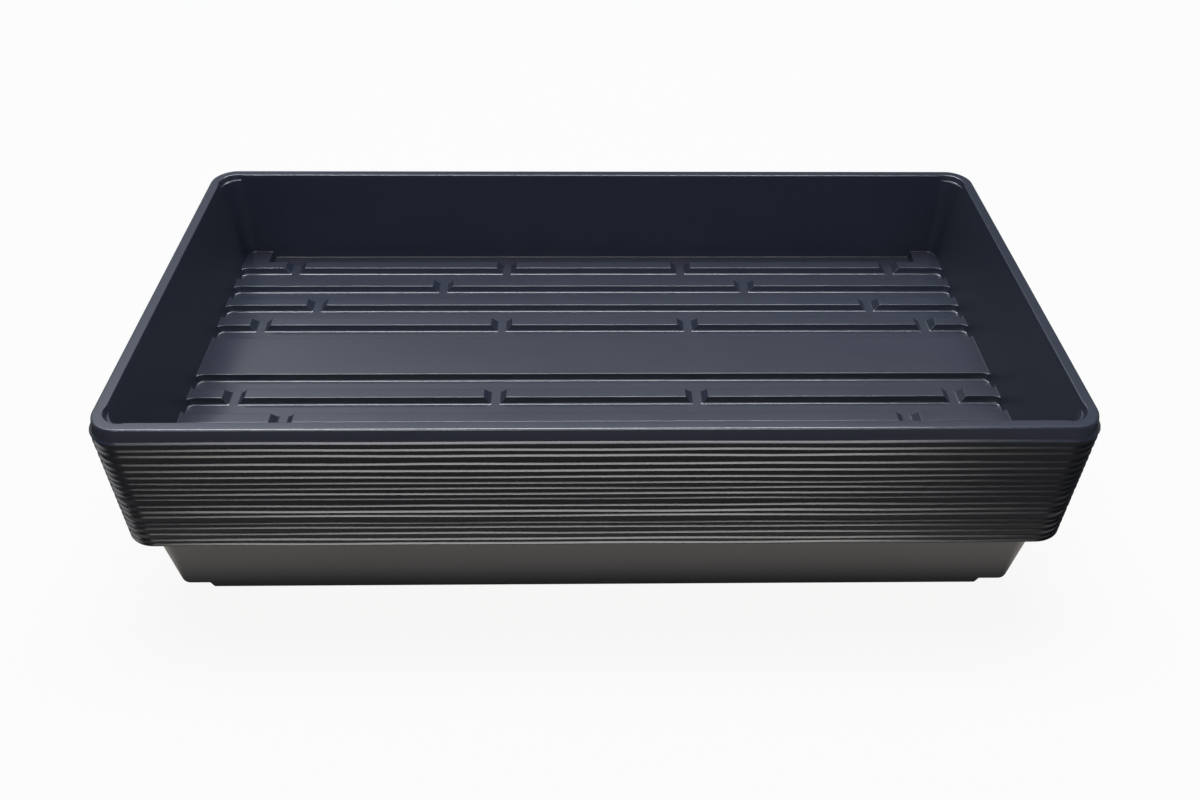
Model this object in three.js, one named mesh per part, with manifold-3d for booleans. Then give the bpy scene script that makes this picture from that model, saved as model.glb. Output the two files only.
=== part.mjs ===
// A nest of thin black plant growing trays. Each tray is one formed plastic sheet: a floor with raised
// bars, drafted walls with a small scoop in each corner, a flat rim and a flared skirt with a trimmed lip.
// Millimetres, +Z up, origin at the middle of the bottom tray's underside, +X along the length.

import * as THREE from "three";
import { mergeVertices } from "three/addons/utils/BufferGeometryUtils.js";
import Module from "manifold-3d";

const wasm = await Module();
wasm.setup();

// Rim and walls of one tray
const RIM_LENGTH = 538; // over the outer edges of the rim's flat top
const RIM_WIDTH = 275;
const RIM_LAND = 6; // width of the rim's flat top
const RIM_CORNER = 16; // corner radius of the rim's outer edge
const TRAY_DEPTH = 64.5; // underside of the floor to the top of the rim
const SHEET = 0.4; // thickness of the formed sheet
const WALL_DRAFT = THREE.MathUtils.degToRad(7.2);
const WALL_CORNER = 15; // corner radius of the walls at the rim; it tightens down to the floor
const SKIRT_HEIGHT = 8; // top of the rim to the top of the lip
const SKIRT_FLARE = 2; // how far the skirt leans out over its height
const LIP_WIDTH = 1; // thin edge that the trimming leaves round the skirt

// Scoop in each corner, under the rim
const SCOOP_CENTRE = 11; // from the two walls to the scoop's centre, at the rim
const SCOOP_RADIUS = 13; // at the rim
const SCOOP_DROP = 3.5; // top of the rim to the scoop's shelf
const SCOOP_TAPER = 1; // how much the scoop's radius shrinks down to its shelf
const SHELF_FALL = 0.8; // how far the shelf slopes down to the wall

// Raised forms of the floor
const BAR_HEIGHT = 4;
const BAR_RUN = 2; // reach of a bar's sloped sides
const BAR_WIDTH = 8; // flat top of a bar
const PLATEAU_WIDTH = 37.4; // flat top of the wide form along the middle
const EDGE_STRIP = 12.7; // from the flat top of the outer bar to the wall; the bars share the rest evenly
const NOTCH_LENGTH = 14; // gap in a bar, between the flat tops
const NOTCH_RUN = 4; // reach of the slope at a notch and at a corner block
const BAR_NOTCHES = [
  [0.249, 0.89],
  [0.757],
  [0.422],
  [0.249, 0.851],
]; // for each bar outwards, as shares of the way from mid-length to the end wall
const CORNER_BLOCK = 16.5; // length of the raised block in each corner of the floor

// The nest
const WALL_CLEARANCE = 0.18; // usual gap between the walls of two nested trays
const NEST_SLACK = [
  0.4, 1.2, 1.2, 0.3, 1.7, 0.3, 1, 1.5, 0.5, 0.7, 0.7, 0.9, 1.1, 1.3, 2, 0.8, 1.3,
]; // share of that gap at each tray above the bottom one: the sheets never settle evenly
const CORNER_STEPS = 4; // facets of a wall's corner
const SCOOP_STEPS = CORNER_STEPS + 2; // facets of a scoop, whose end ones lie beside a wall

// Places on the sheet, as insets from the rim's outer edge at a height above the floor's underside
const WALL_THICKNESS = SHEET / Math.cos(WALL_DRAFT);
const SKIRT_LEAN = Math.atan2(SKIRT_FLARE, SKIRT_HEIGHT);
const insideWall = (z) => RIM_LAND + (TRAY_DEPTH - z) * Math.tan(WALL_DRAFT);
const outsideWall = (z) => insideWall(z) - WALL_THICKNESS;
const insideCorner = (z) => WALL_CORNER + RIM_LAND - insideWall(z);
const outsideSkirt = (z) => (z - TRAY_DEPTH) * Math.tan(SKIRT_LEAN);
const insideSkirt = (z) => outsideSkirt(z) + SHEET / Math.cos(SKIRT_LEAN);
const FLOOR_HALF_LENGTH = RIM_LENGTH / 2 - insideWall(SHEET);
const FLOOR_HALF_WIDTH = RIM_WIDTH / 2 - insideWall(SHEET);
const SCOOP_ARM = Math.sqrt(SCOOP_RADIUS ** 2 - SCOOP_CENTRE ** 2); // along a wall, from centre to end

// A ring of points: a rectangle with an arc in each corner, whose centre lies `centre` from both sides.
// Where the radius is larger than that, the arc bulges past the sides. An arm adds a point on the side,
// that far from each end of the arc.
function ring(inset, z, centre, { radius = centre, steps = CORNER_STEPS, arm = 0 } = {}) {
  const x = RIM_LENGTH / 2 - inset - centre;
  const y = RIM_WIDTH / 2 - inset - centre;
  const spill = Math.acos(centre / radius);
  const sweep = Math.PI / 2 + 2 * spill;
  const corners = [[x, y], [-x, y], [-x, -y], [x, -y]];
  return corners.flatMap(([cx, cy], corner) => {
    const turn = (corner * Math.PI) / 2;
    const arc = Array.from({ length: steps + 1 }, (_, step) => {
      const angle = turn - spill + (sweep * step) / steps;
      return new THREE.Vector3(cx + radius * Math.cos(angle), cy + radius * Math.sin(angle), z);
    });
    if (!arm) return arc;
    const before = new THREE.Vector3(Math.sin(turn), -Math.cos(turn), 0).multiplyScalar(arm).add(arc[0]);
    const after = new THREE.Vector3(-Math.cos(turn), -Math.sin(turn), 0).multiplyScalar(arm).add(arc[steps]);
    return [before, ...arc, after];
  });
}

// A closed skin through rings that start on an upward face and end on a downward one.
function skin(rings) {
  const count = rings[0].length;
  const index = [];
  for (let level = 0; level + 1 < rings.length; level++) {
    for (let i = 0; i < count; i++) {
      const a = level * count + i;
      const b = level * count + ((i + 1) % count);
      index.push(a, a + count, b, b, a + count, b + count);
    }
  }
  const last = (rings.length - 1) * count;
  for (let i = 1; i + 1 < count; i++) {
    index.push(0, i, i + 1);
    index.push(last, last + i + 1, last + i);
  }
  return new THREE.BufferGeometry().setFromPoints(rings.flat()).setIndex(index);
}

// The sheet with a flat floor: over its upper side from the floor to the lip, then back under it.
function plainTray(scooped) {
  const shelf = TRAY_DEPTH - SCOOP_DROP;
  const lip = TRAY_DEPTH - SKIRT_HEIGHT;
  const under = TRAY_DEPTH - SHEET;
  const lipEdge = outsideSkirt(lip) - LIP_WIDTH;
  const sides = { arm: scooped ? SCOOP_ARM : 0 };
  const steps = SCOOP_STEPS;
  const insideRing = (z) => ring(insideWall(z), z, insideCorner(z), sides);
  const outsideRing = (z) => ring(outsideWall(z), z, insideCorner(z) + WALL_THICKNESS, sides);
  const insideScoop = (z, radius) => ring(insideWall(z), z, SCOOP_CENTRE, { radius, steps });
  const outsideScoop = (z, bore) => {
    const radius = bore + WALL_THICKNESS;
    return ring(outsideWall(z), z, SCOOP_CENTRE + WALL_THICKNESS, { radius, steps });
  };
  const skirtRing = (inset, z) => ring(inset, z, RIM_CORNER - inset, sides);
  const scoopFoot = SCOOP_RADIUS - SCOOP_TAPER;
  const upperCorner = scooped
    ? [insideRing(shelf - SHELF_FALL), insideScoop(shelf, scoopFoot), insideScoop(TRAY_DEPTH, SCOOP_RADIUS)]
    : [insideRing(TRAY_DEPTH)];
  const lowerCorner = scooped
    ? [
        outsideScoop(under, SCOOP_RADIUS),
        outsideScoop(shelf - SHEET, scoopFoot),
        outsideRing(shelf - SHELF_FALL - SHEET),
      ]
    : [outsideRing(under)];
  return skin([
    insideRing(SHEET),
    ...upperCorner,
    skirtRing(0, TRAY_DEPTH),
    skirtRing(outsideSkirt(lip), lip),
    skirtRing(lipEdge, lip - SHEET / 2),
    skirtRing(insideSkirt(lip - SHEET), lip - SHEET),
    skirtRing(insideSkirt(under), under),
    ...lowerCorner,
    outsideRing(0),
  ]);
}

// Flat tops of the floor's raised forms, as [x0, x1, y0, y1]. Forms that meet a wall run past it.
function raisedTops(notched) {
  const endX = RIM_LENGTH / 2;
  const endY = RIM_WIDTH / 2;
  const tops = [[-endX, endX, -PLATEAU_WIDTH / 2, PLATEAU_WIDTH / 2]];
  const barPitch = (FLOOR_HALF_WIDTH - EDGE_STRIP - PLATEAU_WIDTH / 2) / BAR_NOTCHES.length;
  const barMiddle = (bar) => (PLATEAU_WIDTH - BAR_WIDTH) / 2 + (bar + 1) * barPitch;
  for (const side of [-1, 1]) {
    BAR_NOTCHES.forEach((shares, bar) => {
      const middle = side * barMiddle(bar);
      const places = shares.map((share) => share * FLOOR_HALF_LENGTH);
      const cuts = notched ? [...places.map((x) => -x), ...places].sort((a, b) => a - b) : [];
      const starts = [-endX, ...cuts.map((x) => x + NOTCH_LENGTH / 2)];
      const ends = [...cuts.map((x) => x - NOTCH_LENGTH / 2), endX];
      starts.forEach((x0, i) => tops.push([x0, ends[i], middle - BAR_WIDTH / 2, middle + BAR_WIDTH / 2]));
    });
    const outer = side * barMiddle(BAR_NOTCHES.length - 1);
    const y = [outer, side * endY].sort((a, b) => a - b);
    const blockX = FLOOR_HALF_LENGTH - CORNER_BLOCK;
    tops.push([-endX, -blockX, ...y], [blockX, endX, ...y]);
  }
  return tops;
}

// A mound with a flat top and four sloped sides, between two heights.
function mound([x0, x1, y0, y1], bottom, top, shrinkX = 0, shrinkY = 0) {
  const height = top - bottom;
  const shape = new THREE.BoxGeometry(x1 - x0 - 2 * shrinkX, y1 - y0 - 2 * shrinkY, height);
  const points = shape.getAttribute("position");
  for (let i = 0; i < points.count; i++) {
    if (points.getZ(i) > 0) continue;
    points.setX(i, points.getX(i) + (Math.sign(points.getX(i)) * height * NOTCH_RUN) / BAR_HEIGHT);
    points.setY(i, points.getY(i) + (Math.sign(points.getY(i)) * height * BAR_RUN) / BAR_HEIGHT);
  }
  return shape.translate((x0 + x1) / 2, (y0 + y1) / 2, (top + bottom) / 2);
}

// Solids for joining and cutting
function solidOf(geometry) {
  const bare = geometry.clone();
  bare.deleteAttribute("normal");
  bare.deleteAttribute("uv");
  const merged = mergeVertices(bare);
  const vertProperties = new Float32Array(merged.getAttribute("position").array);
  const triVerts = new Uint32Array(merged.index.array);
  return new wasm.Manifold(new wasm.Mesh({ numProp: 3, vertProperties, triVerts }));
}

const joined = (geometries) => geometries.map(solidOf).reduce((sum, solid) => sum.add(solid));

function geometryOf(solid) {
  const mesh = solid.getMesh();
  const position = new THREE.BufferAttribute(new Float32Array(mesh.vertProperties), 3);
  const geometry = new THREE.BufferGeometry().setAttribute("position", position);
  geometry.setIndex(new THREE.BufferAttribute(new Uint32Array(mesh.triVerts), 1));
  return geometry;
}

// The tray with its raised forms, which are hollow underneath and open at the walls.
function formedTray(detailed) {
  const tops = raisedTops(detailed);
  const top = SHEET + BAR_HEIGHT;
  const trimTop = 2 * top;
  const halfWall = WALL_THICKNESS / 2;
  const midSheet = (z) => ring(insideWall(z) - halfWall, z, insideCorner(z) + halfWall);
  const insideOfWalls = solidOf(skin([midSheet(trimTop), midSheet(0)]));
  const forms = joined(tops.map((flat) => mound(flat, SHEET / 2, top))).intersect(insideOfWalls);
  const shrink = (run) => SHEET * Math.tan(Math.atan2(BAR_HEIGHT, run) / 2);
  const hollow = (flat) => mound(flat, -SHEET, BAR_HEIGHT, shrink(NOTCH_RUN), shrink(BAR_RUN));
  const formed = solidOf(plainTray(detailed)).add(forms).subtract(joined(tops.map(hollow)));
  return geometryOf(formed);
}

// The trays inside the nest keep their faces few: no notches in the bars, and no scoops in the corners.
const endTray = formedTray(true);
const innerTray = formedTray(false);
const plastic = new THREE.MeshStandardMaterial({ color: 0x24272f, roughness: 0.45, metalness: 0 });

const nest = new THREE.Group();
let height = 0;
for (let tray = 0; tray <= NEST_SLACK.length; tray++) {
  const atEnd = tray === 0 || tray === NEST_SLACK.length;
  const mesh = new THREE.Mesh(atEnd ? endTray : innerTray, plastic);
  mesh.name = `tray_${String(tray + 1).padStart(2, "0")}`;
  if (tray === 0) mesh.name = "bottom_tray";
  if (tray === NEST_SLACK.length) mesh.name = "top_tray";
  mesh.position.z = height;
  nest.add(mesh);
  height += (SHEET + WALL_CLEARANCE * NEST_SLACK[tray]) / Math.sin(WALL_DRAFT);
}

export default nest;
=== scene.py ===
"""Looks of a nest of eighteen thin black plant trays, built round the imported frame.

Every tray is one formed sheet with a barred floor, drafted walls with a scoop in each corner, a
flat rim and a flared skirt with a trimmed lip. The script shapes that sheet once, lays a copy of it
in each place of the nest, dresses it in black styrene, and sets the studio and the camera round it.
"""

import logging
import math
import random
from dataclasses import dataclass, field
from enum import Enum, IntEnum
from typing import Callable, Iterable

import bmesh
import bpy
from bmesh.types import BMEdge, BMesh, BMVert
from mathutils import Matrix, Vector


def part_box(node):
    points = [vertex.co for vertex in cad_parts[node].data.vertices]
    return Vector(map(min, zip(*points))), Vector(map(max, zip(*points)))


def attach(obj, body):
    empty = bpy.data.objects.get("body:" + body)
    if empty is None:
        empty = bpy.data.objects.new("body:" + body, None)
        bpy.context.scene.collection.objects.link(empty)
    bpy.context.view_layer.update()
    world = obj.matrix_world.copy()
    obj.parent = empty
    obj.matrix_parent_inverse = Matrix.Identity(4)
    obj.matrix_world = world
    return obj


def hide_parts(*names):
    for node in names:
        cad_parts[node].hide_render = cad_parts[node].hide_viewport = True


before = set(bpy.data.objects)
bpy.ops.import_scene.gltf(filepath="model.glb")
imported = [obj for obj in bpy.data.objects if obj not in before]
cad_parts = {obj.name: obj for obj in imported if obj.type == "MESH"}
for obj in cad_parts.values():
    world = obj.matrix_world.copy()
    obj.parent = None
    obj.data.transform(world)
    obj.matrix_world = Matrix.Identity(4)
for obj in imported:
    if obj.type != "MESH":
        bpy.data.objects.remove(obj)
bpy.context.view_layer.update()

LOG = logging.getLogger("tray_nest")
TOP_TRAY = "top_tray_sheet"
RIGHT_ANGLE = math.pi / 2

# A millimetre in metres, and the distance in millimetres below which two places count as one.
MM = 0.001
HAIR = 1e-4

Socket = bpy.types.NodeSocket
Span = tuple[float, float]
Triple = tuple[float, float, float]
Grade = tuple[float, float, float, float]

BACKDROP: Triple = (1.0, 0.998, 0.995)


class Axis(IntEnum):
    """A tray's level axes, numbered as a vector's parts are."""

    LENGTH = 0
    WIDTH = 1


class Zone(Enum):
    """Where a point of a tray's outline lies."""

    LONG = "along the long wall"
    CORNER = "round the corner"
    SHORT = "along the short wall"


class Crease(Enum):
    """Which way the sheet turns at an edge."""

    VALLEY = -1
    RIDGE = 1


class Shine(Enum):
    """What a lamp gives to the surfaces that it reaches."""

    LIGHT = "light alone"
    GLOSS = "gloss alone"


@dataclass(frozen=True)
class Place:
    """A point of a tray's outline: its zone, and how far along that zone it lies, from 0 to 1."""

    zone: Zone
    share: float


@dataclass(frozen=True)
class Outline:
    """A quarter of the outline round a tray at one height: two sides and the arc between them.

    Args:
        half_length: Half the outline's length, in millimetres.
        half_width: Half its width.
        z: Height above the underside of the floor.
        centre: Distance from both sides to the arc's centre.
        radius: The arc's radius. Where it is the larger of the two, the arc bulges past the sides.
    """

    half_length: float
    half_width: float
    z: float
    centre: float
    radius: float

    @property
    def spill(self) -> float:
        """Angle by which each end of the arc runs on past a right angle."""
        return math.acos(min(1.0, self.centre / self.radius))

    @property
    def arc_centre(self) -> Span:
        """Centre of the arc, as x and y."""
        return self.half_length - self.centre, self.half_width - self.centre

    def point(self, place: Place) -> Vector:
        """Finds a point of the outline.

        Args:
            place: The zone and share of the point.

        Returns:
            The point, in millimetres.
        """
        x, y = self.arc_centre
        overrun = self.radius * math.sin(self.spill)
        if place.zone is Zone.LONG:
            return Vector((place.share * (x - overrun), self.half_width, self.z))
        if place.zone is Zone.SHORT:
            return Vector((self.half_length, place.share * (y - overrun), self.z))
        angle = RIGHT_ANGLE + self.spill - place.share * (RIGHT_ANGLE + 2 * self.spill)
        across, up = self.radius * math.cos(angle), self.radius * math.sin(angle)
        return Vector((x + across, y + up, self.z))

    def zone(self, point: Vector) -> Zone:
        """Tells which zone a point belongs to.

        Args:
            point: A point of the outline.

        Returns:
            Its zone.
        """
        x, y = self.arc_centre
        if point.x > x - HAIR and point.y > y - HAIR:
            return Zone.CORNER
        return Zone.LONG if point.y > y else Zone.SHORT

    def away(self, point: Vector) -> Vector:
        """Finds the level direction that points out of the outline.

        Args:
            point: A point of the outline.

        Returns:
            The direction there, of length 1.
        """
        zone = self.zone(point)
        if zone is Zone.CORNER:
            x, y = self.arc_centre
            return Vector((point.x - x, point.y - y, 0)).normalized()
        return Vector((0, 1, 0)) if zone is Zone.LONG else Vector((1, 0, 0))

    def holds(self, point: Vector) -> bool:
        """Tells whether a point of the plan lies on the outline.

        Args:
            point: The point.

        Returns:
            True where it does, and for every point in the corner's zone.
        """
        zone = self.zone(point)
        if zone is Zone.LONG:
            return abs(point.y - self.half_width) < HAIR
        return zone is Zone.CORNER or abs(point.x - self.half_length) < HAIR

    def place(self, point: Vector) -> Place:
        """Finds the zone and share of a point on an outline whose arc doesn't bulge.

        Args:
            point: A point of the outline, in millimetres.

        Returns:
            Its place.
        """
        x, y = self.arc_centre
        zone = self.zone(point)
        if zone is Zone.LONG:
            return Place(zone, point.x / x)
        if zone is Zone.SHORT:
            return Place(zone, point.y / y)
        angle = math.atan2(max(0.0, point.y - y), max(0.0, point.x - x))
        return Place(zone, 1 - angle / RIGHT_ANGLE)


@dataclass
class FormedSheet:
    """One tray: a thin plastic sheet formed over a mould. Sizes are in millimetres."""

    # The rim, the walls and the skirt.
    rim_length: float = 538.0
    rim_width: float = 275.0
    rim_land: float = 6.45
    rim_corner: float = 16.0
    rim_inner_round: float = 0.7
    rim_outer_round: float = 1.4
    depth: float = 64.5
    thickness: float = 0.4
    draft: float = math.radians(6.8)
    wall_corner: float = 14.2
    floor_corner: float = 6.0
    skirt_height: float = 8.0
    skirt_flare: float = 2.0

    # The lip: a tight sweep out of the skirt, and then a wide one.
    lip_width: float = 1.0
    lip_bend: float = math.radians(46)
    lip_slope: float = math.radians(54)
    lip_root: float = 0.8
    lip_edge: float = 0.1

    # The scoops in the corners, over their shelves. Each shelf ring has its share of the way from
    # the plain corner to the scoop, and its drop as a share of the shelf's fall.
    scoop_centre: float = 10.5
    scoop_radius: float = 11.1
    scoop_drop: float = 3.5
    scoop_taper: float = 0.55
    shelf_fall: float = 0.2
    shelf_rings: tuple[Span, ...] = (
        (0.01, 0.95), (0.05, 0.55), (0.35, 0.36), (0.7, 0.16), (0.96, 0.0), (1.0, -0.5),
    )
    under_shelf: float = 1.2

    # The raised forms of the floor. The notches' middles are shares of the half length, bar by bar
    # from the middle outwards.
    bar_height: float = 4.3
    bar_run: float = 1.7
    bar_width: float = 8.0
    plateau_width: float = 37.4
    edge_strip: float = 12.7
    notch_length: float = 14.0
    notch_run: float = 4.0
    notch_shares: tuple[tuple[float, ...], ...] = (
        (0.249, 0.89), (0.757,), (0.422,), (0.249, 0.851),
    )
    corner_block: float = 17.6
    end_reach: float = 5.0
    end_flare: float = 2.2
    foot_fillet: float = 0.75
    top_round: float = 0.34

    # The divisions of the mesh, and the turns at which an edge counts as flat or as a crease.
    corner_steps: int = 12
    round_steps: int = 4
    fillet_steps: int = 3
    end_cuts: tuple[float, ...] = (0.75, 0.5, 0.25)
    side_step: float = 22.0
    first_ring: float = 9.0
    middle_ring: float = 30.0
    flat_turn: float = math.radians(0.5)
    crease_turn: float = math.radians(12)

    def inside_wall(self, z: float) -> float:
        """Inset of the wall's inner side from the rim's outer edge, at a height."""
        return self.rim_land + (self.depth - z) * math.tan(self.draft)

    def outline(
        self, inset: float, z: float, centre: float, radius: float | None = None
    ) -> Outline:
        """Makes an outline at an inset from the rim's outer edge.

        Args:
            inset: Distance inwards from the rim's outer edge.
            z: Height above the floor's underside.
            centre: Distance from both sides to the corner's centre.
            radius: Corner radius, or None where it equals that distance.

        Returns:
            The outline.
        """
        half_length, half_width = self.rim_length / 2 - inset, self.rim_width / 2 - inset
        return Outline(half_length, half_width, z, centre, centre if radius is None else radius)

    def corner(self, z: float) -> float:
        """Corner radius of the wall's inner side at a height: it tightens down to the floor."""
        return self.floor_corner + (self.wall_corner - self.floor_corner) * z / self.depth

    def wall(self, z: float) -> Outline:
        """Outline of the plain inner wall at a height."""
        return self.outline(self.inside_wall(z), z, self.corner(z))

    @property
    def floor(self) -> Outline:
        """Outline of the low floor where it meets the walls."""
        return self.wall(self.thickness)

    @property
    def slope_middle(self) -> float:
        """Height halfway up the sides of the raised forms."""
        return self.thickness + self.bar_height / 2

    @property
    def plateau_foot(self) -> float:
        """Foot of the wide middle form, across the half width."""
        return self.plateau_width / 2 + self.bar_run

    @property
    def bar_feet(self) -> list[Span]:
        """Feet of the bars across the half width.

        Returns:
            Each bar's inner and outer foot, from the middle outwards.
        """
        bars = len(self.notch_shares)
        pitch = (self.floor.half_width - self.edge_strip - self.plateau_width / 2) / bars
        first = (self.plateau_width - self.bar_width) / 2
        middles = [first + (k + 1) * pitch for k in range(bars)]
        half = self.bar_width / 2 + self.bar_run
        return [(middle - half, middle + half) for middle in middles]

    @property
    def block_foot(self) -> float:
        """Foot of the raised block in the floor's corner, along the length."""
        return self.floor.half_length - self.corner_block - self.bar_run

    def notch_gaps(self, bar: int) -> list[Span]:
        """Low gaps in a bar along the half length.

        Args:
            bar: The bar's number, from the middle outwards.

        Returns:
            Each gap's two feet.
        """
        half = self.notch_length / 2 - self.notch_run
        middles = [share * self.floor.half_length for share in self.notch_shares[bar]]
        return [(middle - half, middle + half) for middle in middles]

    def is_raised(self, point: Vector) -> bool:
        """Tells whether the floor is raised at a point of its plan.

        Args:
            point: The point.

        Returns:
            True where a form is raised.
        """
        if point.y < self.plateau_foot:
            return True
        if point.x > self.block_foot and point.y > self.bar_feet[-1][0]:
            return True
        for bar, (inner, outer) in enumerate(self.bar_feet):
            if inner < point.y < outer:
                return not any(start < point.x < end for start, end in self.notch_gaps(bar))
        return False

    def is_high(self, vert: BMVert) -> bool:
        """Tells whether a point of the floor lies on the flat top of a raised form."""
        return vert.co.z > self.slope_middle

    def is_flat(self, edge: BMEdge) -> bool:
        """Tells whether the two faces at an edge lie in one plane."""
        return len(edge.link_faces) == 2 and edge.calc_face_angle() < self.flat_turn

    def cut(
        self, bm: BMesh, axis: Axis, at: float, where: Callable[[Vector], bool] = lambda c: True
    ) -> None:
        """Cuts faces of the floor along a line.

        Args:
            bm: The sheet.
            axis: The axis that the line crosses.
            at: The line's place on that axis.
            where: Picks the faces by their centres.
        """
        faces = [f for f in bm.faces if where(f.calc_center_median())]
        # A dict keeps the order of the mesh's elements, where a set would not.
        edges = dict.fromkeys(e for f in faces for e in f.edges)
        verts = dict.fromkeys(v for f in faces for v in f.verts)
        normal = Vector((0, 0, 0))
        normal[axis] = 1
        bmesh.ops.bisect_plane(
            bm, geom=[*faces, *edges, *verts], dist=HAIR, plane_co=normal * at, plane_no=normal
        )

    def lay_floor(self, bm: BMesh) -> None:
        """Lays a quarter of the floor flat, and cuts it along the feet of its forms.

        Args:
            bm: The sheet, still empty.
        """
        floor = self.floor
        bmesh.ops.create_grid(bm, x_segments=1, y_segments=1, size=0.5)
        bmesh.ops.translate(bm, verts=bm.verts, vec=(0.5, 0.5, floor.z))
        bmesh.ops.scale(bm, verts=bm.verts, vec=(floor.half_length, floor.half_width, 1))
        far = max(bm.verts, key=lambda v: v.co.x + v.co.y)
        bmesh.ops.bevel(
            bm, geom=[far], offset=floor.radius, offset_type="OFFSET", segments=self.corner_steps,
            profile=0.5, affect="VERTICES", material=-1,
        )
        *inner_bars, (block_side, last_foot) = self.bar_feet
        for line in (self.plateau_foot, *(foot for bar in inner_bars for foot in bar), block_side):
            self.cut(bm, Axis.WIDTH, line)
        self.cut(bm, Axis.LENGTH, self.block_foot, lambda c: c.y > block_side)
        self.cut(
            bm, Axis.WIDTH, last_foot, lambda c: c.y > block_side and c.x < self.block_foot
        )
        for bar, (inner, outer) in enumerate(self.bar_feet):
            for line in (foot for gap in self.notch_gaps(bar) for foot in gap):
                self.cut(bm, Axis.LENGTH, line, lambda c: inner < c.y < outer)

    def raise_forms(self, bm: BMesh) -> None:
        """Raises the bars, the wide middle form and the corner block, with sloped sides.

        Args:
            bm: The sheet.
        """
        raised = [f for f in bm.faces if self.is_raised(f.calc_center_median())]
        bmesh.ops.inset_region(
            bm, faces=raised, use_boundary=False, use_even_offset=True, thickness=self.bar_run,
            depth=self.bar_height,
        )
        self.dissolve(
            bm, [e for e in bm.edges if self.is_flat(e) and all(self.is_high(v) for v in e.verts)]
        )
        tops = [v for v in bm.verts if self.is_high(v)]
        self.ease_notches(tops)
        for vert in tops:
            if vert.is_boundary and self.floor.holds(vert.co):
                self.carry_up(vert, self.floor, vert.co.z)

    def ease_notches(self, tops: list[BMVert]) -> None:
        """Eases the slopes at the notches, which reach further than a bar's sides.

        Args:
            tops: The points of the raised forms' flat tops.
        """
        ends = [
            (foot, way)
            for bar in range(len(self.notch_shares))
            for gap in self.notch_gaps(bar)
            for foot, way in zip(gap, (-1, 1))
        ]
        for vert in tops:
            for foot, way in ends:
                if abs(vert.co.x - foot - way * self.bar_run) < HAIR:
                    vert.co.x = foot + way * self.notch_run
                    break

    def flare_ends(self, bm: BMesh) -> None:
        """Widens the forms where they run into the short wall, as a mould's fillet does.

        Args:
            bm: The sheet.
        """
        on_slope = self.bar_height / 4
        for share in self.end_cuts:
            at = self.floor.half_length - share * self.end_reach
            self.cut(bm, Axis.LENGTH, at, lambda c: abs(c.z - self.slope_middle) < on_slope)
        feet = [(self.plateau_foot, 1)]
        for inner, outer in self.bar_feet:
            feet += [(inner, -1), (outer, 1)]
        # The last bar's outer side ends at the corner block, short of the wall.
        feet.pop()
        for vert in bm.verts:
            away = self.wall(vert.co.z).half_length - vert.co.x
            if away > self.end_reach - HAIR:
                continue
            climb = (vert.co.z - self.thickness) / self.bar_height
            for foot, way in feet:
                if abs(vert.co.y - foot + way * climb * self.bar_run) < HAIR:
                    vert.co.y += way * self.end_flare * (1 - away / self.end_reach) ** 2
                    break

    @staticmethod
    def dissolve(bm: BMesh, edges: list[BMEdge]) -> None:
        """Takes out edges, and the points that no longer turn a corner."""
        bmesh.ops.dissolve_edges(bm, edges=edges, use_verts=True)

    def carry_up(self, vert: BMVert, ring: Outline, z: float) -> None:
        """Moves a point of an outline to another height, out along the drafted wall.

        Args:
            vert: The point.
            ring: The outline that it lies on.
            z: Its new height.
        """
        if ring.zone(vert.co) is Zone.CORNER:
            vert.co = self.wall(z).point(ring.place(vert.co))
            return
        vert.co += (z - ring.z) * math.tan(self.draft) * ring.away(vert.co)
        vert.co.z = z

    @staticmethod
    def outer_border(bm: BMesh) -> list[BMEdge]:
        """Finds the open edges that are not on the two planes that the sheet is mirrored in.

        Args:
            bm: The sheet.

        Returns:
            The edges.
        """
        def on_plane(edge: BMEdge, axis: Axis) -> bool:
            """Tells whether an edge lies on the plane that halves an axis."""
            return all(abs(v.co[axis]) < HAIR for v in edge.verts)

        return [e for e in bm.edges if e.is_boundary and not any(on_plane(e, a) for a in Axis)]

    def start_walls(self, bm: BMesh) -> None:
        """Draws the walls up from the floor's stepped border to one level ring.

        Args:
            bm: The sheet.
        """
        made = bmesh.ops.extrude_edge_only(bm, edges=self.outer_border(bm))["geom"]
        risers = []
        for vert in [g for g in made if isinstance(g, BMVert)]:
            ring = self.wall(vert.co.z)
            if ring.zone(vert.co) is not Zone.CORNER:
                risers += [
                    e for e in vert.link_edges
                    if not e.is_boundary and e.other_vert(vert) not in made
                ]
            self.carry_up(vert, ring, self.first_ring)
        self.dissolve(bm, [e for e in risers if e.is_valid and len(e.link_faces) == 2])

    def creases(self, bm: BMesh, kind: Crease) -> list[BMEdge]:
        """Finds the edges at which the sheet turns.

        Args:
            bm: The sheet.
            kind: Which way it turns.

        Returns:
            The edges.
        """
        return [
            e for e in bm.edges
            if len(e.link_faces) == 2
            and kind.value * e.calc_face_angle_signed() > self.crease_turn
        ]

    @staticmethod
    def face_up(bm: BMesh) -> None:
        """Makes the sheet's faces agree, and turns them up.

        Args:
            bm: The sheet.
        """
        bmesh.ops.recalc_face_normals(bm, faces=bm.faces)
        if sum(f.normal.z * f.calc_area() for f in bm.faces) < 0:
            bmesh.ops.reverse_faces(bm, faces=bm.faces)

    def round_floor(self, bm: BMesh) -> None:
        """Rounds the feet of the forms and walls, and then the top edges of the forms.

        Args:
            bm: The sheet.
        """
        self.face_up(bm)
        for kind, offset in ((Crease.VALLEY, self.foot_fillet), (Crease.RIDGE, self.top_round)):
            bmesh.ops.bevel(
                bm, geom=self.creases(bm, kind), offset=offset, offset_type="OFFSET",
                segments=self.fillet_steps, profile=0.5, affect="EDGES", clamp_overlap=False,
                material=-1,
            )

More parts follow.
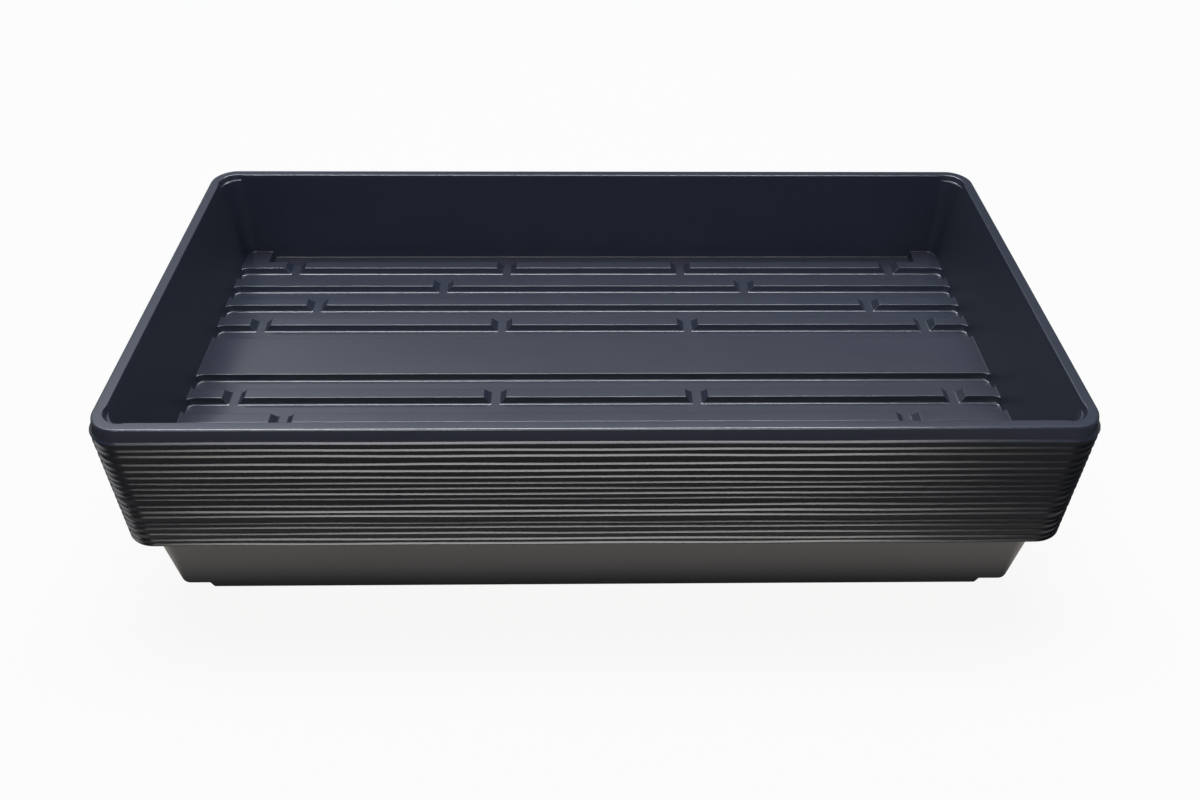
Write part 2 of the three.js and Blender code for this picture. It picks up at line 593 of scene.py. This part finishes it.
    def divide_ring(self, bm: BMesh) -> None:
        """Divides the straight sides of the ring where the walls end.

        Args:
            bm: The sheet.
        """
        for edge in self.outer_border(bm):
            cuts = round(edge.calc_length() / self.side_step) - 1
            if cuts > 0:
                bmesh.ops.subdivide_edges(bm, edges=[edge], cuts=cuts)

    def arc(
        self, inset: float, z: float, start: float, end: float, radius: float
    ) -> Iterable[Span]:
        """Points of a round seen in section, centred on a point of the profile.

        Args:
            inset: Inset of the round's centre.
            z: Height of the round's centre.
            start: Angle at which it starts, from outwards towards up.
            end: Angle at which it ends.
            radius: Its radius.

        Returns:
            Each point's inset and height.
        """
        for step in range(self.round_steps + 1):
            angle = start + (end - start) * step / self.round_steps
            yield inset - radius * math.cos(angle), z + radius * math.sin(angle)

    def upper_outlines(self) -> list[Outline]:
        """Outlines from the first ring up the wall, round the scoops and over the rim to the lip.

        Returns:
            The outlines, in order along the sheet.
        """
        shelf = self.depth - self.scoop_drop
        foot_radius = self.scoop_radius - self.scoop_taper
        wall_top = shelf - self.shelf_fall - self.under_shelf
        rings = [self.wall(z) for z in (self.middle_ring, wall_top)]
        for share, drop in self.shelf_rings:
            z = shelf - self.shelf_fall * drop
            plain = self.corner(z)
            centre = plain + (self.scoop_centre - plain) * share
            radius = plain + (foot_radius - plain) * share
            rings.append(self.outline(self.inside_wall(z), z, centre, radius))
        inner = self.rim_inner_round
        back = inner * math.tan((RIGHT_ANGLE - self.draft) / 2)
        middle = self.rim_land - back, self.depth - inner
        for inset, z in self.arc(*middle, math.pi + self.draft, RIGHT_ANGLE, inner):
            grown = self.rim_land - inset
            rings.append(
                self.outline(inset, z, self.scoop_centre + grown, self.scoop_radius + grown)
            )
        outer = self.rim_outer_round
        back = outer * math.tan((RIGHT_ANGLE - self.lean) / 2)
        profile = list(self.arc(back, self.depth - outer, RIGHT_ANGLE, self.lean, outer))
        profile += self.lip_profile()
        rings += [self.outline(inset, z, self.rim_corner - inset) for inset, z in profile]
        return rings

    @property
    def lean(self) -> float:
        """Angle of the skirt from upright."""
        return math.atan2(self.skirt_flare, self.skirt_height)

    @property
    def lip_sweeps(self) -> tuple[Triple, ...]:
        """The lip's hollow sweeps, tight and then wide.

        Returns:
            Each sweep's two angles and its radius.
        """
        slant = math.tan(self.lean)

        def reach(start: float, end: float) -> float:
            """How far a sweep of radius 1 leaves the skirt's line."""
            return math.cos(start) - math.cos(end) - slant * (math.sin(end) - math.sin(start))

        tight = self.lip_root * reach(self.lean, self.lip_bend)
        left = self.lip_width + slant * self.lip_edge - tight
        return (
            (self.lean, self.lip_bend, self.lip_root),
            (self.lip_bend, self.lip_slope, left / reach(self.lip_bend, self.lip_slope)),
        )

    @property
    def lip_start(self) -> Span:
        """Where the lip leaves the skirt.

        Returns:
            Its distance outside the rim, and its height.
        """
        drops = (r * (math.sin(end) - math.sin(start)) for start, end, r in self.lip_sweeps)
        above = self.lip_edge + sum(drops)
        out = self.skirt_flare - math.tan(self.lean) * above
        return out, self.depth - self.skirt_height + above

    def lip_profile(self) -> list[Span]:
        """Section of the lip's sweeps.

        Returns:
            Each point's inset and height.
        """
        out, z = self.lip_start
        points = [(-out, z)]
        for start, end, radius in self.lip_sweeps:
            inset, z = points[-1]
            centre = inset - radius * math.cos(start), z + radius * math.sin(start)
            points += list(self.arc(*centre, math.pi + start, math.pi + end, radius))[1:]
        return points

    def draw_up(self, bm: BMesh) -> None:
        """Draws the sheet on from ring to ring, up the walls, over the rim and out to the lip.

        Args:
            bm: The sheet.
        """
        border = self.outer_border(bm)
        start = self.wall(self.first_ring)
        places = {v: start.place(v.co) for e in border for v in e.verts}
        for ring in self.upper_outlines():
            old = {tuple(v.co): place for v, place in places.items()}
            made = bmesh.ops.extrude_edge_only(bm, edges=border)["geom"]
            verts = [g for g in made if isinstance(g, BMVert)]
            places = {v: old[tuple(v.co)] for v in verts}
            for vert, place in places.items():
                vert.co = ring.point(place)
            fresh = set(verts)
            border = [g for g in made if isinstance(g, BMEdge) and set(g.verts) <= fresh]

    def complete(self, bm: BMesh) -> None:
        """Mirrors the quarter into the whole sheet and turns its faces up.

        Args:
            bm: The sheet.
        """
        for axis in ("X", "Y"):
            bmesh.ops.mirror(
                bm, geom=[*bm.verts, *bm.edges, *bm.faces], matrix=Matrix.Identity(4),
                merge_dist=HAIR, axis=axis,
            )
        bmesh.ops.remove_doubles(bm, verts=bm.verts, dist=HAIR)
        self.face_up(bm)

    def build(self) -> BMesh:
        """Shapes the upper side of the sheet.

        Returns:
            The sheet's upper side, in millimetres, open at the lip.
        """
        bm = bmesh.new()
        self.lay_floor(bm)
        self.raise_forms(bm)
        self.flare_ends(bm)
        self.start_walls(bm)
        self.round_floor(bm)
        self.divide_ring(bm)
        self.draw_up(bm)
        self.complete(bm)
        return bm


@dataclass
class NodeBench:
    """A node tree, and short ways to add nodes to it and wire them."""

    tree: bpy.types.NodeTree

    @property
    def nodes(self) -> bpy.types.Nodes:
        """The tree's nodes."""
        return self.tree.nodes

    def add(self, kind: str) -> bpy.types.Node:
        """Adds a shader node, named by its kind."""
        return self.nodes.new(f"ShaderNode{kind}")

    def link(self, value: object, socket: Socket) -> None:
        """Feeds a socket.

        Args:
            value: A socket, a number or a colour.
            socket: The socket that it feeds.
        """
        if isinstance(value, Socket):
            self.tree.links.new(value, socket)
        else:
            socket.default_value = value

    def math(self, operation: str, *values: object) -> Socket:
        """Joins values.

        Args:
            operation: What is done with them.
            values: Sockets or numbers.

        Returns:
            The result's socket.
        """
        node = self.add("Math")
        node.operation = operation
        for value, socket in zip(values, node.inputs):
            self.link(value, socket)
        return node.outputs["Value"]

    def ramp(self, value: Socket, low: float, high: float, bottom: float, top: float) -> Socket:
        """Eases a value from one range into another, clamped.

        Args:
            value: The value.
            low: Where it starts.
            high: Where it ends.
            bottom: The result at the start.
            top: The result at the end.

        Returns:
            The result's socket.
        """
        node = self.add("MapRange")
        node.interpolation_type = "SMOOTHSTEP"
        ends = {"From Min": low, "From Max": high, "To Min": bottom, "To Max": top}
        for name, number in ends.items():
            node.inputs[name].default_value = number
        self.link(value, node.inputs["Value"])
        return node.outputs["Result"]

    def split(self, vector: Socket) -> tuple[Socket, ...]:
        """Splits a vector.

        Args:
            vector: The vector.

        Returns:
            Its three parts.
        """
        node = self.add("SeparateXYZ")
        self.link(vector, node.inputs["Vector"])
        return tuple(node.outputs[name] for name in "XYZ")

    def noise(
        self, where: Socket, scale: float, detail: float, stretch: Triple = (1, 1, 1)
    ) -> Socket:
        """Makes a noise pattern.

        Args:
            where: The coordinates that it lies in.
            scale: Its scale.
            detail: How many finer layers it has.
            stretch: Scale of each axis.

        Returns:
            The pattern's value socket.
        """
        mapping = self.add("Mapping")
        mapping.inputs["Scale"].default_value = stretch
        self.link(where, mapping.inputs["Vector"])
        texture = self.add("TexNoise")
        texture.inputs["Scale"].default_value = scale
        texture.inputs["Detail"].default_value = detail
        self.link(mapping.outputs["Vector"], texture.inputs["Vector"])
        return texture.outputs["Fac"]

    def mix(self, share: Socket, first: object, second: object) -> Socket:
        """Mixes two colours, each a socket or four numbers.

        Args:
            share: The second colour's share.
            first: The first colour.
            second: The second colour.

        Returns:
            The result's socket.
        """
        node = self.add("Mix")
        node.data_type = "RGBA"
        self.link(share, node.inputs["Factor"])
        self.link(first, node.inputs["A"])
        self.link(second, node.inputs["B"])
        return node.outputs["Result"]

    def show(self, share: Socket, first: Socket, second: Socket, output: str) -> None:
        """Blends two shaders into the tree's output.

        Args:
            share: The second shader's share.
            first: The first shader.
            second: The second shader.
            output: The output node's name.
        """
        node = self.add("MixShader")
        for value, socket in zip((share, first, second), node.inputs):
            self.link(value, socket)
        self.link(node.outputs["Shader"], self.nodes[output].inputs["Surface"])


@dataclass(frozen=True)
class BlackStyrene:
    """Near-black formed styrene: a soft gloss, duller on the drawn walls, with scuffs and dust.

    A span that is called an edge holds the two values of a pattern between which it comes in.
    """

    colour: Triple = (0.037, 0.043, 0.062)
    refraction: float = 1.59
    roughness: Span = (0.225, 0.245)
    roughness_edge: Span = (0.3, 0.7)
    drawn_dullness: float = 0.17
    drawn_edge: Span = (0.16, 0.34)
    smear_scale: float = 38.0
    smear_detail: float = 5.0
    smear_stretch: Triple = (0.45, 1.0, 1.0)
    scuffed: Triple = (0.039, 0.045, 0.064)
    scuff_edge: Span = (0.45, 0.75)
    dust: Triple = (0.30, 0.30, 0.29)
    dust_scale: float = 150.0
    dust_size: float = 0.055
    dust_core: float = 0.6
    patch_scale: float = 60.0
    patch_detail: float = 1.0
    patch_edge: Span = (0.6, 0.66)
    patch_most: float = 0.55
    peel_scale: float = 900.0
    peel_detail: float = 3.0
    peel_height: float = 0.000005
    peel_strength: float = 0.35

    def build(self) -> bpy.types.Material:
        """Makes the material.

        Returns:
            The material, reading Object coordinates.
        """
        material = bpy.data.materials.new("black_styrene")
        material.use_nodes = True
        bench = NodeBench(material.node_tree)
        shader = bench.nodes["Principled BSDF"]
        shader.inputs["IOR"].default_value = self.refraction
        surface = bench.add("TexCoord").outputs
        where = surface["Object"]
        smear = bench.noise(where, self.smear_scale, self.smear_detail, self.smear_stretch)
        scuff = bench.ramp(smear, *self.scuff_edge, 0.0, 1.0)
        worn = bench.mix(scuff, (*self.colour, 1), (*self.scuffed, 1))
        dusty = bench.mix(self.specks(bench, where), worn, (*self.dust, 1))
        bench.link(dusty, shader.inputs["Base Color"])
        level = bench.math("ABSOLUTE", bench.split(surface["Normal"])[2])
        dull = bench.ramp(level, *self.drawn_edge, self.drawn_dullness, 0.0)
        uneven = bench.ramp(smear, *self.roughness_edge, *self.roughness)
        bench.link(bench.math("ADD", uneven, dull), shader.inputs["Roughness"])
        bump = bench.add("Bump")
        bump.inputs["Strength"].default_value = self.peel_strength
        bump.inputs["Distance"].default_value = self.peel_height
        peel = bench.noise(where, self.peel_scale, self.peel_detail)
        bench.link(peel, bump.inputs["Height"])
        bench.link(bump.outputs["Normal"], shader.inputs["Normal"])
        return material

    def specks(self, bench: NodeBench, where: Socket) -> Socket:
        """Scatters specks of dust in patches.

        Args:
            bench: The material's nodes.
            where: The coordinates that the specks lie in.

        Returns:
            The dust's share of the colour.
        """
        speck = bench.add("TexVoronoi")
        speck.inputs["Scale"].default_value = self.dust_scale
        bench.link(where, speck.inputs["Vector"])
        core = self.dust_size * self.dust_core
        spot = bench.ramp(speck.outputs["Distance"], core, self.dust_size, 1.0, 0.0)
        patch = bench.noise(where, self.patch_scale, self.patch_detail)
        sparse = bench.ramp(patch, *self.patch_edge, 0.0, self.patch_most)
        return bench.math("MULTIPLY", spot, sparse)


@dataclass
class TrayNest:
    """The trays, each a copy of the formed sheet in its own place of the nest.

    Sizes are in millimetres. The sheet is made thinner by its slack, so that it stays off the
    underside of the CAD box.
    """

    sheet: FormedSheet = field(default_factory=FormedSheet)
    finish: BlackStyrene = field(default_factory=BlackStyrene)
    seed: int = 18
    lip_wave: float = 0.3
    wave_count: int = 3
    wave_lengths: Span = (90, 260)
    wave_sizes: Span = (0.4, 1)
    wave_slant: float = 1.3
    wave_start: float = 1.5
    trim_most: float = 0.3
    slack: float = 0.004
    shading_weight: int = 100

    def nodes(self) -> list[str]:
        """CAD nodes of the trays, from the bottom of the nest to its top."""
        return sorted(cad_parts, key=lambda name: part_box(name)[0].z)

    def wave(self, bm: BMesh, rng: random.Random) -> None:
        """Makes a tray's lip run a little uneven, as trimmed sheet does.

        Args:
            bm: The tray's sheet, in millimetres.
            rng: The source of its waves.
        """
        draws = self.wave_lengths, (0, math.tau), self.wave_sizes
        waves = [tuple(rng.uniform(*draw) for draw in draws) for _ in range(self.wave_count)]
        total = sum(size for _, _, size in waves)
        top = self.sheet.depth - self.wave_start
        lip = self.sheet.depth - self.sheet.skirt_height
        half_length, half_width = self.sheet.rim_length / 2 - HAIR, self.sheet.rim_width / 2 - HAIR
        for vert in bm.verts:
            x, y, z = vert.co
            if z > top or (abs(x) < half_length and abs(y) < half_width):
                continue
            share = min(1.0, (top - z) / (top - lip))
            along = x + self.wave_slant * y
            swing = sum(
                size * math.sin(along * math.tau / length + phase) for length, phase, size in waves
            )
            vert.co.z += self.lip_wave * share * (swing / total)

    def trim(self, bm: BMesh, cuts: dict[tuple[Axis, int], float]) -> None:
        """Trims a tray's lip a little off centre, so that it stands out less on some sides.

        Args:
            bm: The tray's sheet, in millimetres.
            cuts: How much is cut from each side, by the side's axis and direction.
        """
        out, _ = self.sheet.lip_start
        halves = self.sheet.rim_length / 2 + out, self.sheet.rim_width / 2 + out
        reach = self.sheet.skirt_flare + self.sheet.lip_width - out
        for vert in bm.verts:
            for (axis, way), cut in cuts.items():
                over = way * vert.co[axis] - halves[axis]
                if over > 0:
                    vert.co[axis] -= way * cut * over / reach

    def lay(self, bm: BMesh, node: str, material: bpy.types.Material) -> bpy.types.Object:
        """Lays a tray in its place, gives it its thickness and dresses it.

        Args:
            bm: The tray's sheet, in millimetres. It is used up.
            node: The tray's CAD node.
            material: The tray's plastic.

        Returns:
            The tray's object.
        """
        bmesh.ops.scale(bm, verts=bm.verts, vec=(MM, MM, MM))
        bmesh.ops.translate(bm, verts=bm.verts, vec=(0, 0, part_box(node)[0].z))
        mesh = bpy.data.meshes.new(f"{node}_sheet")
        bm.to_mesh(mesh)
        bm.free()
        mesh.shade_smooth()
        mesh.materials.append(material)
        tray = bpy.data.objects.new(f"{node}_sheet", mesh)
        bpy.context.scene.collection.objects.link(tray)
        shell = tray.modifiers.new("sheet", "SOLIDIFY")
        shell.thickness = (self.sheet.thickness - self.slack) * MM
        shell.offset = -1
        shell.use_even_offset = True
        tray.modifiers.new("even_shading", "WEIGHTED_NORMAL").weight = self.shading_weight
        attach(tray, node)
        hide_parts(node)
        return tray

    def build(self) -> list[bpy.types.Object]:
        """Shapes, lays out and dresses the trays. The nest's two end trays keep their full lips.

        Returns:
            The trays' objects, from the bottom one to the top one.
        """
        material = self.finish.build()
        pattern = self.sheet.build()
        rng = random.Random(self.seed)
        nodes = self.nodes()
        trays = []
        for node in nodes:
            bm = pattern.copy()
            self.wave(bm, rng)
            most = 0.0 if node in (nodes[0], nodes[-1]) else self.trim_most
            self.trim(bm, {(axis, way): rng.uniform(0, most) for axis in Axis for way in (-1, 1)})
            tray = self.lay(bm, node, material)
            trays.append(tray)
            LOG.info("%s: %d faces", tray.name, len(tray.data.polygons))
        pattern.free()
        return trays


@dataclass(frozen=True)
class Softbox:
    """A large soft lamp that faces the nest. Sizes are in metres, the output in watts.

    Args:
        name: The lamp's name.
        place: Where it hangs.
        size: Its width and height.
        watts: Its output.
        colour: Its tint.
        share: Whether it lights or gleams.
        only: The one object that it reaches, or None where it reaches all.
        spared: The one object that it misses, or None where it misses none.
        aim: The point that it faces.
    """

    name: str
    place: Triple
    size: Span
    watts: float
    colour: Triple
    share: Shine
    only: str | None = None
    spared: str | None = None
    aim: Triple = (0, 0, 0.1)

    def build(self) -> None:
        """Hangs the lamp, out of the camera's sight."""
        lamp = bpy.data.lights.new(self.name, "AREA")
        lamp.shape = "RECTANGLE"
        lamp.size, lamp.size_y = self.size
        lamp.energy = self.watts
        lamp.color = self.colour
        holder = bpy.data.objects.new(self.name, lamp)
        holder.location = self.place
        holder.visible_camera = False
        holder.visible_diffuse = self.share is Shine.LIGHT
        holder.visible_glossy = self.share is Shine.GLOSS
        facing = Vector(self.aim) - Vector(self.place)
        holder.rotation_euler = facing.to_track_quat("-Z", "Y").to_euler()
        bpy.context.scene.collection.objects.link(holder)
        picked = self.only or self.spared
        if picked is not None:
            reached = bpy.data.collections.new(f"{self.name}_reach")
            reached.objects.link(bpy.data.objects[picked])
            state = "INCLUDE" if self.only else "EXCLUDE"
            reached.collection_objects[0].light_linking.link_state = state
            holder.light_linking.receiver_collection = reached


@dataclass(frozen=True)
class PhotoCamera:
    """The camera that was fitted to the photograph: its eye in metres, its angles in radians."""

    eye: Triple = (-0.01013, -0.55101, 0.52047)
    yaw: float = 0.0245
    pitch: float = 0.7123
    roll: float = -0.0133
    focal_px: float = 1069.2
    frame_px: int = 1200
    sensor_mm: float = 36.0
    nearest: float = 0.01

    def build(self) -> None:
        """Sets up the camera and makes it the scene's own."""
        level = math.cos(self.pitch)
        ahead = Vector(
            (math.sin(self.yaw) * level, math.cos(self.yaw) * level, -math.sin(self.pitch))
        )
        right = Vector((math.cos(self.yaw), -math.sin(self.yaw), 0))
        down = ahead.cross(right)
        turn = Matrix.Rotation(self.roll, 3, ahead)
        right, down = turn @ right, turn @ down
        data = bpy.data.cameras.new("photo_camera")
        data.sensor_fit = "HORIZONTAL"
        data.sensor_width = self.sensor_mm
        data.lens = self.focal_px / self.frame_px * self.sensor_mm
        data.clip_start = self.nearest
        camera = bpy.data.objects.new("photo_camera", data)
        axes = Matrix((right, -down, -ahead)).transposed()
        camera.matrix_world = Matrix.Translation(self.eye) @ axes.to_4x4()
        bpy.context.scene.collection.objects.link(camera)
        bpy.context.scene.camera = camera


@dataclass(frozen=True)
class PalePaper:
    """The floor's paper: pale to the camera, with a faint shadow, and with painted shade and a
    painted tint in reflections.

    Each grade is read against the distance from the nest's foot, in metres: where it starts and
    ends, and the glow at both.
    """

    colour: Triple = (0.85, 0.848, 0.845)
    bounce_colour: Triple = (0.24, 0.237, 0.233)
    roughness: float = 0.9
    specular: float = 0.1
    backdrop_share: float = 0.92
    # Painted reflection tint: the warm colour that the paper's glow takes in reflections alone.
    painted_reflection_tint: Triple = (1.0, 0.925, 0.83)
    foot: Span = (0.2555, 0.1240)
    # Painted shade in reflections: a painted shadow at the nest's foot, painted darkening further
    # out, and a rise far off.
    foot_shade: Grade = (0.0, 0.024, 0.12, 1.0)
    near_fade: Grade = (0.08, 0.22, 1.0, 0.015)
    far_rise: Grade = (0.38, 0.60, 0.0, 0.34)

    def build(self) -> bpy.types.Material:
        """Makes the material.

        Returns:
            The material, reading Object coordinates.
        """
        material = bpy.data.materials.new("pale_paper")
        material.use_nodes = True
        bench = NodeBench(material.node_tree)
        shader = bench.nodes["Principled BSDF"]
        shader.inputs["Roughness"].default_value = self.roughness
        shader.inputs["Specular IOR Level"].default_value = self.specular
        rays = bench.add("LightPath").outputs
        seen = bench.mix(rays["Is Camera Ray"], (*self.bounce_colour, 1), (*self.colour, 1))
        bench.link(seen, shader.inputs["Base Color"])
        mirrored = bench.math("MAXIMUM", rays["Is Glossy Ray"], rays["Is Transmission Ray"])
        direct = bench.math("MULTIPLY", rays["Is Camera Ray"], self.backdrop_share)
        glow = bench.add("Emission")
        # In reflections the glow takes the painted warm tint.
        tint = bench.mix(mirrored, (*BACKDROP, 1), (*self.painted_reflection_tint, 1))
        bench.link(tint, glow.inputs["Color"])
        # Reflections see the paper's glow dimmed by the painted shade.
        dark = bench.math("SUBTRACT", 1.0, self.gleam(bench))
        dimmed = bench.math("MULTIPLY", mirrored, dark)
        bench.link(bench.math("SUBTRACT", 1.0, dimmed), glow.inputs["Strength"])
        bench.show(
            bench.math("MAXIMUM", mirrored, direct), shader.outputs["BSDF"],
            glow.outputs["Emission"], "Material Output",
        )
        return material

    def gleam(self, bench: NodeBench) -> Socket:
        """Paints shade into the paper's glow in reflections, graded by the distance from the nest's
        foot.

        Args:
            bench: The material's nodes.

        Returns:
            The glow's strength.
        """
        place = bench.split(bench.add("TexCoord").outputs["Object"])
        apart = [
            bench.math("SUBTRACT", bench.math("ABSOLUTE", along), half)
            for along, half in zip(place, self.foot)
        ]
        away = bench.math("MAXIMUM", *apart)
        near = bench.ramp(away, *self.foot_shade)
        far = bench.math("ADD", bench.ramp(away, *self.near_fade), bench.ramp(away, *self.far_rise))
        return bench.math("MULTIPLY", near, far)


@dataclass(frozen=True)
class DimRoom:
    """The room: a dim front, a graded back with a gleam on its left, and a pale backdrop.

    Each grade is read against one part of a direction: where it starts and ends, and the strength
    at both.
    """

    tint: Triple = (0.90, 0.96, 1.04)
    climb: Grade = (0.48, 0.85, 0.11, 1.1)
    left_gleam: Grade = (-0.45, -0.02, 2.6, 0.0)
    right_fall: Grade = (0.0, 0.45, 1.0, 0.65)
    back: Grade = (-0.05, 0.45, 0.0, 1.0)
    front: Grade = (-0.05, 0.45, 0.04, 0.0)
    horizon: Grade = (0.05, 0.30, 0.15, 0.0)

    def build(self) -> None:
        """Makes the room and sets it as the scene's world."""
        world = bpy.data.worlds.new("room")
        world.use_nodes = True
        bpy.context.scene.world = world
        bench = NodeBench(world.node_tree)
        x, y, z = bench.split(bench.add("TexCoord").outputs["Generated"])
        rays = bench.add("LightPath").outputs
        gleam = bench.math("MULTIPLY", bench.ramp(x, *self.left_gleam), rays["Is Glossy Ray"])
        side = bench.math(
            "MULTIPLY", bench.math("ADD", gleam, 1.0), bench.ramp(x, *self.right_fall)
        )
        rising = bench.math("MULTIPLY", bench.ramp(z, *self.climb), side)
        back = bench.math("MULTIPLY", rising, bench.ramp(y, *self.back))
        around = bench.math("ADD", back, bench.ramp(y, *self.front))
        strength = bench.math("ADD", around, bench.ramp(z, *self.horizon))
        room = bench.nodes["Background"]
        room.inputs["Color"].default_value = (*self.tint, 1)
        bench.link(strength, room.inputs["Strength"])
        backdrop = bench.add("Background")
        backdrop.inputs["Color"].default_value = (*BACKDROP, 1)
        bench.show(
            rays["Is Camera Ray"], room.outputs["Background"], backdrop.outputs["Background"],
            "World Output",
        )


@dataclass
class Studio:
    """The pale floor, the dim room, the soft lamps and the camera. Sizes are in metres."""

    floor_half: float = 12.0
    floor_drop: float = 0.0002
    paper: PalePaper = field(default_factory=PalePaper)
    room: DimRoom = field(default_factory=DimRoom)
    camera: PhotoCamera = field(default_factory=PhotoCamera)
    lamps: tuple[Softbox, ...] = (
        Softbox(
            "sky_softbox", (-0.04, 0.60, 2.50), (2.3, 1.0), 46.0,
            (0.92, 0.98, 1.11), Shine.LIGHT,
        ),
        Softbox(
            "edge_softbox", (-0.20, 0.94, 2.94), (2.7, 0.72), 173.0,
            (0.96, 0.99, 1.06), Shine.GLOSS,
        ),
        Softbox(
            "front_softbox", (-0.12, -2.26, 2.72), (2.7, 1.12), 61.0,
            (1.03, 1.0, 0.96), Shine.GLOSS,
        ),
        Softbox(
            "left_softbox", (-3.00, -0.30, 1.00), (2.4, 1.0), 16.0,
            (1.0, 1.0, 1.0), Shine.GLOSS, spared=TOP_TRAY,
        ),
        Softbox(
            "fill_softbox", (0.2, -3.20, 1.40), (3.2, 0.8), 27.0,
            (0.66, 0.72, 1.06), Shine.LIGHT, only=TOP_TRAY,
        ),
    )

    def lay_floor(self) -> None:
        """Lays the floor that the nest stands on."""
        bm = bmesh.new()
        bmesh.ops.create_grid(bm, x_segments=1, y_segments=1, size=self.floor_half)
        bmesh.ops.translate(bm, verts=bm.verts, vec=(0, 0, -self.floor_drop))
        mesh = bpy.data.meshes.new("pale_floor")
        bm.to_mesh(mesh)
        bm.free()
        mesh.materials.append(self.paper.build())
        floor = bpy.data.objects.new("pale_floor", mesh)
        bpy.context.scene.collection.objects.link(floor)

    def build(self) -> None:
        """Sets the studio up."""
        bpy.context.scene.view_settings.view_transform = "Standard"
        self.lay_floor()
        self.room.build()
        for lamp in self.lamps:
            lamp.build()
        self.camera.build()


def note_sizes() -> None:
    def plain(box: Iterable) -> list:
        """Turns a box's corners into plain lists of numbers."""
        return [[float(x) for x in corner] for corner in box]


def main() -> None:
    """Builds the nest and the studio, and reports each piece."""
    logging.basicConfig(level=logging.INFO, format="%(name)s: %(message)s")
    trays = TrayNest().build()
    LOG.info("%d trays", len(trays))
    Studio().build()
    note_sizes()


if __name__ == "__main__":
    main()
